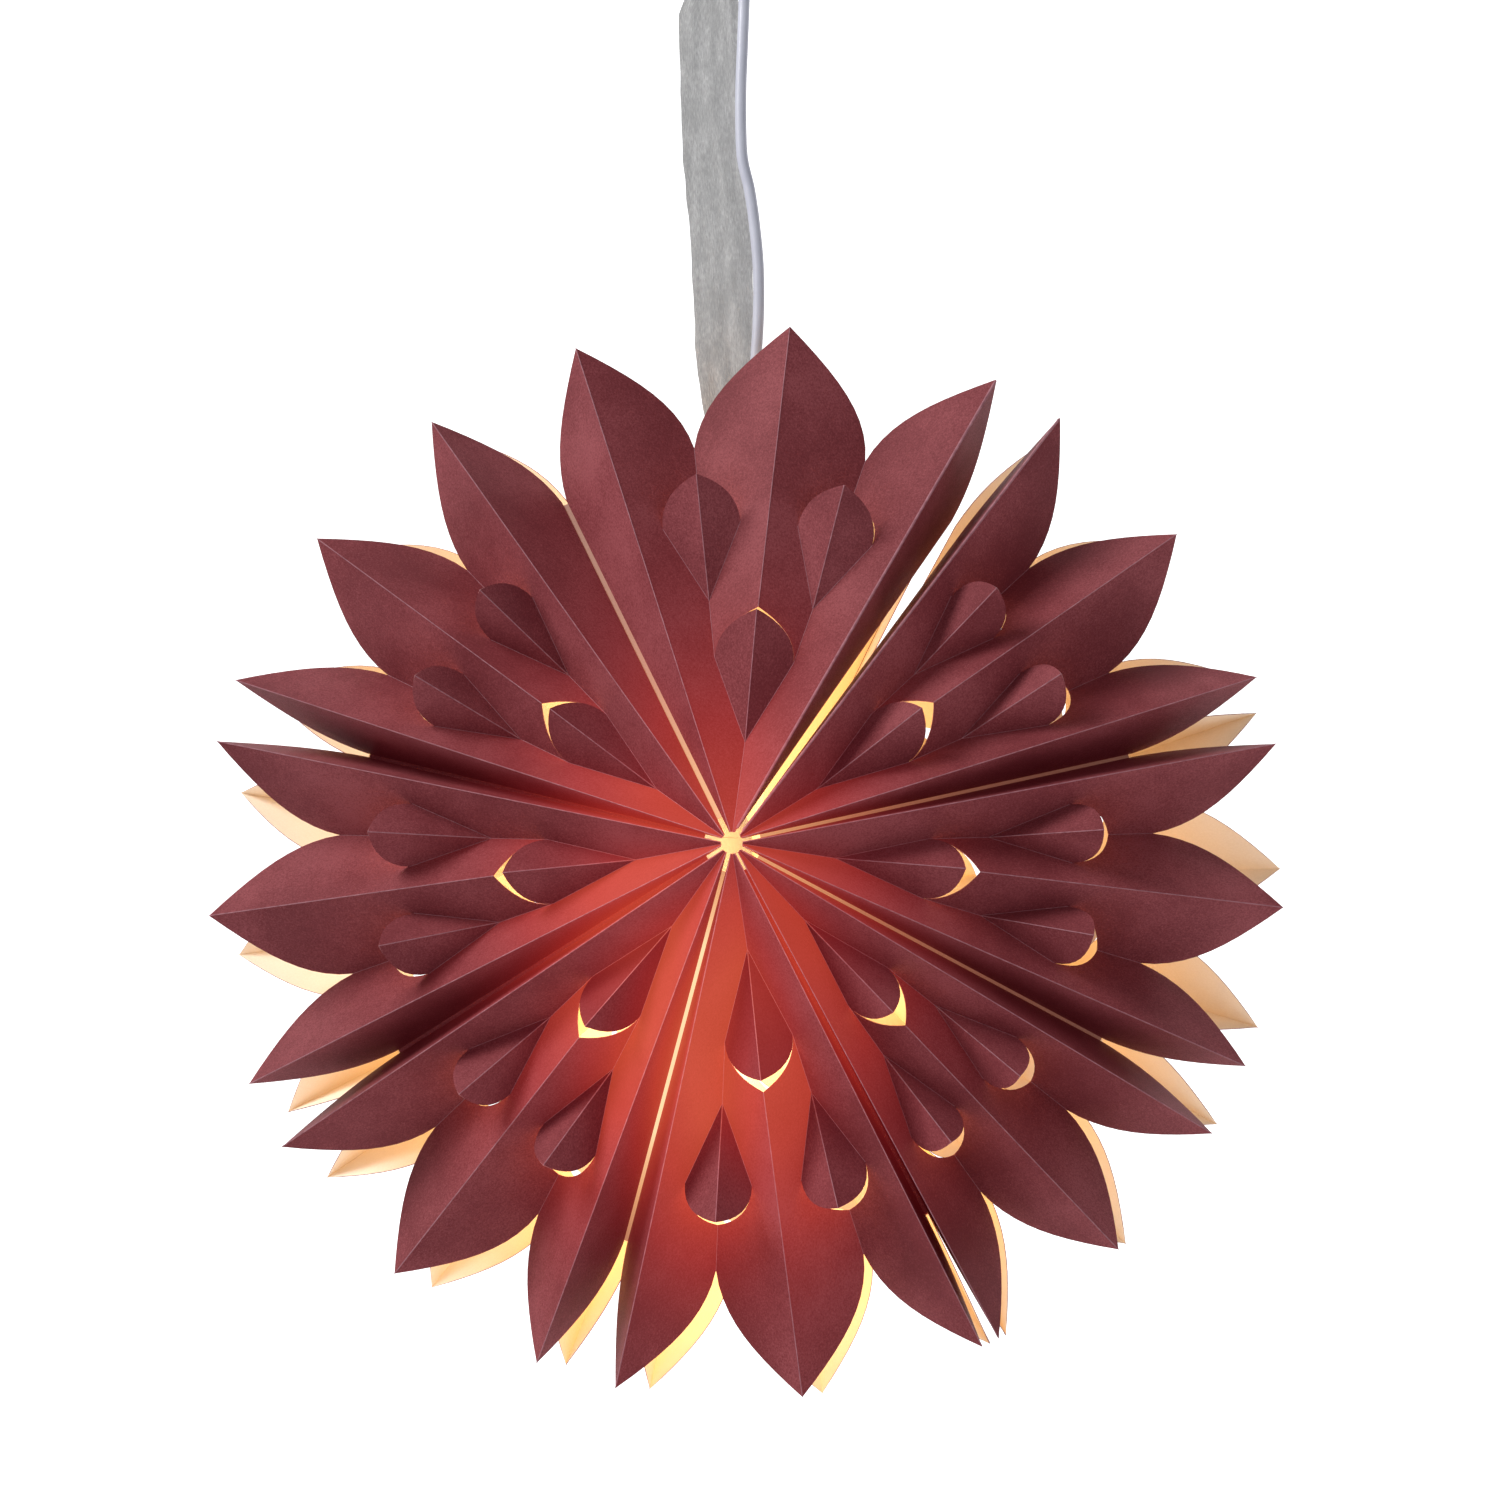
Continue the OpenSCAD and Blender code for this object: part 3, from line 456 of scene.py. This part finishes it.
def flat_regions(work):
    """Groups of faces that lie in one plane side by side."""
    left = set(work.faces)
    while left:
        region, stack = set(), [left.pop()]
        while stack:
            face = stack.pop()
            region.add(face)
            for edge in face.edges:
                for other in edge.link_faces:
                    if other in left and other.normal.dot(face.normal) > FLAT:
                        left.remove(other)
                        stack.append(other)
        yield region


def region_width(region):
    """Mean width of a flat region: twice its area over its outline."""
    outline = sum(edge.calc_length() for face in region for edge in face.edges
                  if sum(other in region for other in edge.link_faces) == 1)
    return 2 * sum(face.calc_area() for face in region) / outline


def mark_faces(work, facing):
    """Tells the sheet's coloured face, its plain face and its cut edges apart. facing is -1 on the front."""
    for region in list(flat_regions(work)):
        if region_width(region) < EDGE_WIDTH:
            kind = CUT_EDGE
        elif next(iter(region)).normal.y * facing < 0:
            kind = INSIDE
        else:
            kind = FLAP if sum(face.calc_area() for face in region) < FLAP_AREA else OUTSIDE
        for face in region:
            face.material_index = kind


def paper_leaf(node, body, materials):
    """Dresses a folded sheet face by face, and gives its fold lines."""
    work = merged_copy(node)
    mark_faces(work, -1 if "front" in node else 1)
    creases = fold_lines(work)
    mesh = bpy.data.meshes.new(node + "_paper")
    work.to_mesh(mesh)
    work.free()
    for material in materials:
        mesh.materials.append(material)
    mesh.polygons.foreach_set("use_smooth", [False] * len(mesh.polygons))
    leaf = mesh_piece(node + "_paper", mesh)
    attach(leaf, body)
    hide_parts(node)
    return creases


def fold_lines(work):
    """Ends of the folds that show on the coloured face, ridges first and valleys second."""
    ridges, valleys = [], []
    for edge in work.edges:
        if len(edge.link_faces) != 2 or edge.calc_length() < SHORTEST_FOLD:
            continue
        if any(face.material_index not in (OUTSIDE, FLAP) for face in edge.link_faces):
            continue
        if edge.calc_face_angle(0) > FOLD_TURN:
            (ridges if edge.is_convex else valleys).append([v.co.copy() for v in edge.verts])
    return ridges, valleys


# ---------------------------------------------------------------- geometry nodes

def node_tree(name, inputs):
    """An empty tree with the named inputs, and its ends."""
    tree = bpy.data.node_groups.new(name, "GeometryNodeTree")
    tree.interface.new_socket("Geometry", in_out="INPUT", socket_type="NodeSocketGeometry")
    for label, kind in inputs:
        tree.interface.new_socket(label, in_out="INPUT", socket_type=kind)
    tree.interface.new_socket("Geometry", in_out="OUTPUT", socket_type="NodeSocketGeometry")
    return tree, tree.nodes.new("NodeGroupInput"), tree.nodes.new("NodeGroupOutput")


def crease_tree():
    """Lays a thin bead of paler paper, worn ink and painted highlight, along every edge of a wire mesh."""
    tree, given, made = node_tree("rubbed creases", [("Radius", "NodeSocketFloat"), ("Sides", "NodeSocketInt"),
                                                      ("Finish", "NodeSocketMaterial")])
    link = tree.links.new
    line = tree.nodes.new("GeometryNodeMeshToCurve")
    link(given.outputs["Geometry"], line.inputs["Mesh"])
    ring = tree.nodes.new("GeometryNodeCurvePrimitiveCircle")
    link(given.outputs["Radius"], ring.inputs["Radius"])
    link(given.outputs["Sides"], ring.inputs["Resolution"])
    bead = tree.nodes.new("GeometryNodeCurveToMesh")
    link(line.outputs["Curve"], bead.inputs["Curve"])
    link(ring.outputs["Curve"], bead.inputs["Profile Curve"])
    bead.inputs["Fill Caps"].default_value = True
    real = tree.nodes.new("GeometryNodeRealizeInstances")
    link(bead.outputs["Mesh"], real.inputs["Geometry"])
    coat = tree.nodes.new("GeometryNodeSetMaterial")
    link(real.outputs["Geometry"], coat.inputs["Geometry"])
    link(given.outputs["Finish"], coat.inputs["Material"])
    link(coat.outputs["Geometry"], made.inputs["Geometry"])
    return tree


def grow(piece, tree, values):
    """Runs a tree on a piece with the named inputs, and leaves a plain mesh in its place."""
    modifier = piece.modifiers.new(tree.name, "NODES")
    modifier.node_group = tree
    for socket in tree.interface.items_tree:
        if socket.in_out == "INPUT" and socket.name in values:
            modifier[socket.identifier] = values[socket.name]
    bpy.context.view_layer.update()
    shape = piece.evaluated_get(bpy.context.evaluated_depsgraph_get())
    mesh = bpy.data.meshes.new_from_object(shape)
    piece.modifiers.clear()
    piece.data = mesh
    return piece


# Radii of the pale beads along the folds: worn ink and painted highlight
RIDGE_RADIUS = 0.30 * MM
VALLEY_RADIUS = 0.20 * MM
HINGE_RADIUS = 0.75 * MM
BEAD_SIDES = 6


def crease_piece(name, lines, radius, body, tree, material):
    """One bead along each line, as one piece."""
    points = [point for line in lines for point in line]
    mesh = bpy.data.meshes.new(name)
    mesh.from_pydata(points, [(i, i + 1) for i in range(0, len(points), 2)], [])
    piece = grow(mesh_piece(name, mesh), tree, {"Radius": radius, "Sides": BEAD_SIDES, "Finish": material})
    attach(piece, body)


SHUT_SEAMS = (160, 210, 300)      # tight seams that let no light out, by their turn about the star
ON_CREASE = 2 * MM                # a panel's points this near its swing axis lie on the crease


def turn_about_star(point):
    """Degrees about the star to the nearest 10, from the right and up over the top."""
    away = point - STAR
    return round(math.degrees(math.atan2(away.z, away.x)) / 10) % 36 * 10


def hinge_lines():
    """The creases on which the closing panels swing."""
    lines = []
    for joint in frame["record"]["behaviour"]["joints"]:
        if "closing panel" not in joint["child"]:
            continue
        start, axis = Vector(joint["pos_m"]), Vector(joint["axis"]).normalized()
        panel = nodes["closing_panel_" + joint["child"].replace(" closing panel", "").replace(" ", "_")]
        reach = [(v.co - start).dot(axis) for v in panel.data.vertices
                 if (v.co - start).cross(axis).length < ON_CREASE]
        lines.append([start + min(reach) * axis, start + max(reach) * axis])
    return lines


# ---------------------------------------------------------------- cable and ribbon

CABLE_D = 6.5 * MM
CABLE_STEPS = 6           # points on the smooth line for each one below
# The cable's route from the lamp holder to the ceiling fitting, in millimetres
CABLE_ROUTE = [
    (9, -10, -587), (9, -10, -567), (9, -10, -545), (9, -10, -518), (11, -9, -482), (14, -7, -442),
    (18, -5, -402), (21, -4, -362), (24, -4, -322), (26, -4, -290), (26, -4, -262), (24, -4, -238),
    (21, -4, -216), (17, -4, -198), (16, -4, -180), (16, -4, -155), (17, -4, -128), (18, -4, -98),
    (18, -4, -75), (18, -4, -60), (18, -4, -23.2),
]


def smooth_route(points, steps):
    """Points along the smooth line through the given ones."""
    route = [Vector(p) * MM for p in points]
    line = []
    for i in range(len(route) - 1):
        a, b, c, d = (route[min(max(j, 0), len(route) - 1)] for j in (i - 1, i, i + 1, i + 2))
        for j in range(steps):
            t = j / steps
            line.append(0.5 * (2 * b + (c - a) * t + (2 * a - 5 * b + 4 * c - d) * t ** 2
                               + (3 * b - a - 3 * c + d) * t ** 3))
    return line + [route[-1]]


def add_cable():
    line = smooth_route(CABLE_ROUTE, CABLE_STEPS)
    data = bpy.data.curves.new("lamp_cable", "CURVE")
    data.dimensions = "3D"
    data.bevel_depth = CABLE_D / 2
    data.bevel_resolution = 6
    data.use_fill_caps = True
    spline = data.splines.new("POLY")
    spline.points.add(len(line) - 1)
    for point, place in zip(spline.points, line):
        point.co = (*place, 1)
    data.materials.append(finish_material("white cable", (0.44, 0.455, 0.54), (0.50, 0.515, 0.60), 0.42,
                                          scale=40, bump=0.05, coat=0.1))
    cable = new_object("lamp_cable", data)
    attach(cable, ROOT)
    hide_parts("cable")
    length = sum((b - a).length for a, b in zip(line, line[1:]))
    tuple(line[0])


RIBBON_HALF = 17.5 * MM
RIBBON_Y = 6 * MM         # the band hangs this far behind the hook
RIBBON_LEAN = 8           # millimetres of height in which it gets there
# Ribbon heights with the middle's x and the half width, in millimetres
RIBBON_LINE = [
    (-84, 0, 3.5), (-90, -0.5, 9), (-98, -2, 14.5), (-108, -3, 17.5), (-126, -3.5, 17.5), (-170, -2.0, 17.5),
    (-210, 1.0, 17.5), (-240, 3.5, 17.5), (-294, 6, 17.5), (-320, 7.5, 17), (-345, 9, 14.5), (-362, 10.5, 9),
    (-376, 11, 4),
]


def ribbon_cross(z):
    """Middle and half width of the ribbon at a height, both in millimetres."""
    heights = [-row[0] for row in RIBBON_LINE]
    middle = np.interp(-z, heights, [row[1] for row in RIBBON_LINE])
    half = np.interp(-z, heights, [row[2] for row in RIBBON_LINE])
    return middle, half


def ribbon_fold(s, z, gather):
    """How far the cloth stands out of its plane, s across from -1 to 1 and z in height, in millimetres."""
    pleat = (0.15 + 2.2 * gather) * math.sin(9 * s + 0.02 * z)
    slow = 1.5 * noise.noise(Vector((s * 1.9, z / 46, 1.7)))
    quick = 0.8 * noise.noise(Vector((s * 5.2, z / 21, 5.2)))
    return 0.6 * (pleat + slow + quick)


def ribbon_fray(s, z):
    """How far the selvedge strays sideways, in millimetres."""
    return 1.1 * abs(s) ** 3 * noise.noise(Vector((s * 2, z / 17, 8.4)))


def add_ribbon():
    across, along = 28, 120     # squares of the mesh
    top, bottom = RIBBON_LINE[0][0], RIBBON_LINE[-1][0]
    points, weave = [], []
    for j in range(along + 1):
        z = top + (bottom - top) * j / along
        middle, half = ribbon_cross(z)
        gather = 1 - half * MM / RIBBON_HALF
        behind = RIBBON_Y * min((top - z) / RIBBON_LEAN, 1)
        for i in range(across + 1):
            s = 2 * i / across - 1
            points.append(((middle + half * s + ribbon_fray(s, z)) * MM,
                           behind + ribbon_fold(s, z, gather) * MM, z * MM))
            weave.append((s * RIBBON_HALF, z * MM))
    row = across + 1
    faces = [(a, a + row, a + row + 1, a + 1) for j in range(along) for a in range(j * row, j * row + across)]
    mesh = bpy.data.meshes.new("ribbon_band")
    mesh.from_pydata(points, [], faces)
    layer = mesh.uv_layers.new(name="weave")
    for loop in mesh.loops:
        layer.data[loop.index].uv = weave[loop.vertex_index]
    mesh.polygons.foreach_set("use_smooth", [True] * len(mesh.polygons))
    fabric = sheer_ribbon()
    band = mesh_piece("ribbon_band", mesh, fabric)
    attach(band, ROOT)
    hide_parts("ribbon")
    add_ribbon_ends(fabric)


# Only what lies between these heights is creased, so the loops stay round
CREASED_TOP = -77 * MM
CREASED_BOTTOM = -382 * MM
KNOT_OVERLAP = 4 * MM     # the knots' mesh is kept this far into the band
KNOT_CREASE = 0.7 * MM


def add_ribbon_ends(fabric):
    """The knots at the ribbon's two ends, and their loops round the hook and the wire."""
    work = merged_copy("ribbon")
    top, bottom = RIBBON_LINE[0][0] * MM - KNOT_OVERLAP, RIBBON_LINE[-1][0] * MM + KNOT_OVERLAP
    band = [face for face in work.faces
            if min(vert.co.z for vert in face.verts) < top and max(vert.co.z for vert in face.verts) > bottom]
    bmesh.ops.delete(work, geom=band, context="FACES")
    work.normal_update()
    for vert in work.verts:
        if CREASED_BOTTOM < vert.co.z < CREASED_TOP:
            vert.co += vert.normal * KNOT_CREASE * noise.noise(vert.co * 420)
    weave = work.loops.layers.uv.new("weave")
    for face in work.faces:
        face.smooth = True
        for loop in face.loops:
            loop[weave].uv = (loop.vert.co.x + loop.vert.co.y, loop.vert.co.z)
    mesh = bpy.data.meshes.new("ribbon_ends")
    work.to_mesh(mesh)
    work.free()
    ends = mesh_piece("ribbon_ends", mesh, fabric)
    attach(ends, ROOT)


# ---------------------------------------------------------------- dressing the frame

def dress(material, *names):
    """Gives whole nodes one material."""
    for name in names:
        slots = nodes[name].data.materials
        slots.clear()
        slots.append(material)


def add_paper():
    undyed = plain_paper("white paper", (0.74, 0.66, 0.54), (0.86, 0.79, 0.69), WARM_GLOW)
    seam = plain_paper("lit seam paper", (0.24, 0.15, 0.12), (0.34, 0.22, 0.18), SEAM_GLOW)
    # the flaps get a copy of the burgundy paper with a weaker painted glow
    materials = [burgundy_paper("burgundy paper", RED_GLOW), undyed, paper_core(),
                 burgundy_paper("burgundy flap paper", FLAP_GLOW)]
    # paler beads along the folds: ink worn off, and a painted highlight
    worn_ink_and_highlight = crease_highlight_paper()
    tree = crease_tree()
    bodies = {name: body for body, names in frame["record"]["behaviour"]["bodies"].items()
              for name in names}
    folds = {}
    for name in sorted(bodies):
        if "segment" in name or "closing_panel" in name:
            ridges, valleys = paper_leaf(name, bodies[name], materials)
            found = folds.setdefault(bodies[name], ([], []))
            found[0].extend(ridges)
            found[1].extend(valleys)
    for body, (ridges, valleys) in folds.items():
        label = body.replace(" ", "_")
        for name, lines, radius in ((label + "_ridges", ridges, RIDGE_RADIUS),
                                    (label + "_valleys", valleys, VALLEY_RADIUS)):
            if lines:
                crease_piece(name, lines, radius, body, tree, worn_ink_and_highlight)
    crease_piece("hinge_creases", hinge_lines(), HINGE_RADIUS, ROOT, tree, worn_ink_and_highlight)
    for name in ("front_seam_strips", "back_seam_strips"):
        dress(seam, name)
        nodes[name].data.materials.append(materials[OUTSIDE])
        for face in nodes[name].data.polygons:
            face.material_index = int(turn_about_star(face.center) in SHUT_SEAMS)
    dress(undyed, "rim_tabs", "hanger_patches")


def dress_fittings():
    plastic = finish_material("white plastic", (0.72, 0.72, 0.71), (0.78, 0.78, 0.77), 0.3, scale=30, bump=0.04,
                              coat=0.3)
    steel = brushed_steel("brushed steel")
    brass = finish_material("brass", (0.62, 0.44, 0.16), (0.74, 0.55, 0.22), 0.28, metallic=1.0, scale=80)
    bright = finish_material("bright metal", (0.55, 0.55, 0.54), (0.70, 0.70, 0.69), 0.25, metallic=1.0,
                             scale=90)
    pale_ceramic = finish_material("pale ceramic", (0.74, 0.73, 0.70), (0.80, 0.79, 0.76), 0.35, scale=50,
                                   bump=0.05)
    dark_ceramic = finish_material("dark ceramic", (0.012, 0.012, 0.014), (0.03, 0.03, 0.034), 0.3, scale=70)
    glass = finish_material("lit glass", (1.0, 0.86, 0.66), (1.0, 0.92, 0.76), 0.15, scale=20, bump=0.0,
                            glow=((1.0, 0.66, 0.30), 9.0))
    clear = finish_material("clear glass", (0.85, 0.90, 0.95), (0.92, 0.95, 1.0), 0.08, scale=20, bump=0.0,
                            alpha=0.4)
    wire = finish_material("glowing filament", (1.0, 0.75, 0.4), (1.0, 0.85, 0.55), 0.5, scale=200,
                           glow=((1.0, 0.72, 0.35), 30.0))
    dress(plastic, "cord_grip", "holder_cap", "holder_shell", "ceiling_cup", "cable_gland", "gland_nut",
          "terminal_block")
    dress(steel, "ceiling_strap", "ribbon_hook", "hook_nut", "hanger_wire")
    dress(brass, "thread_sleeve", "centre_contact")
    dress(bright, "bulb_screw_cap", "bulb_tip_contact")
    dress(pale_ceramic, "holder_insulator")
    dress(dark_ceramic, "bulb_cap_insulator")
    dress(glass, "bulb_glass")
    dress(clear, "filament_stem")
    dress(wire, "filaments")


add_camera()
add_cable()
add_ribbon()
add_stage()
add_lights()
add_paper()
dress_fittings()
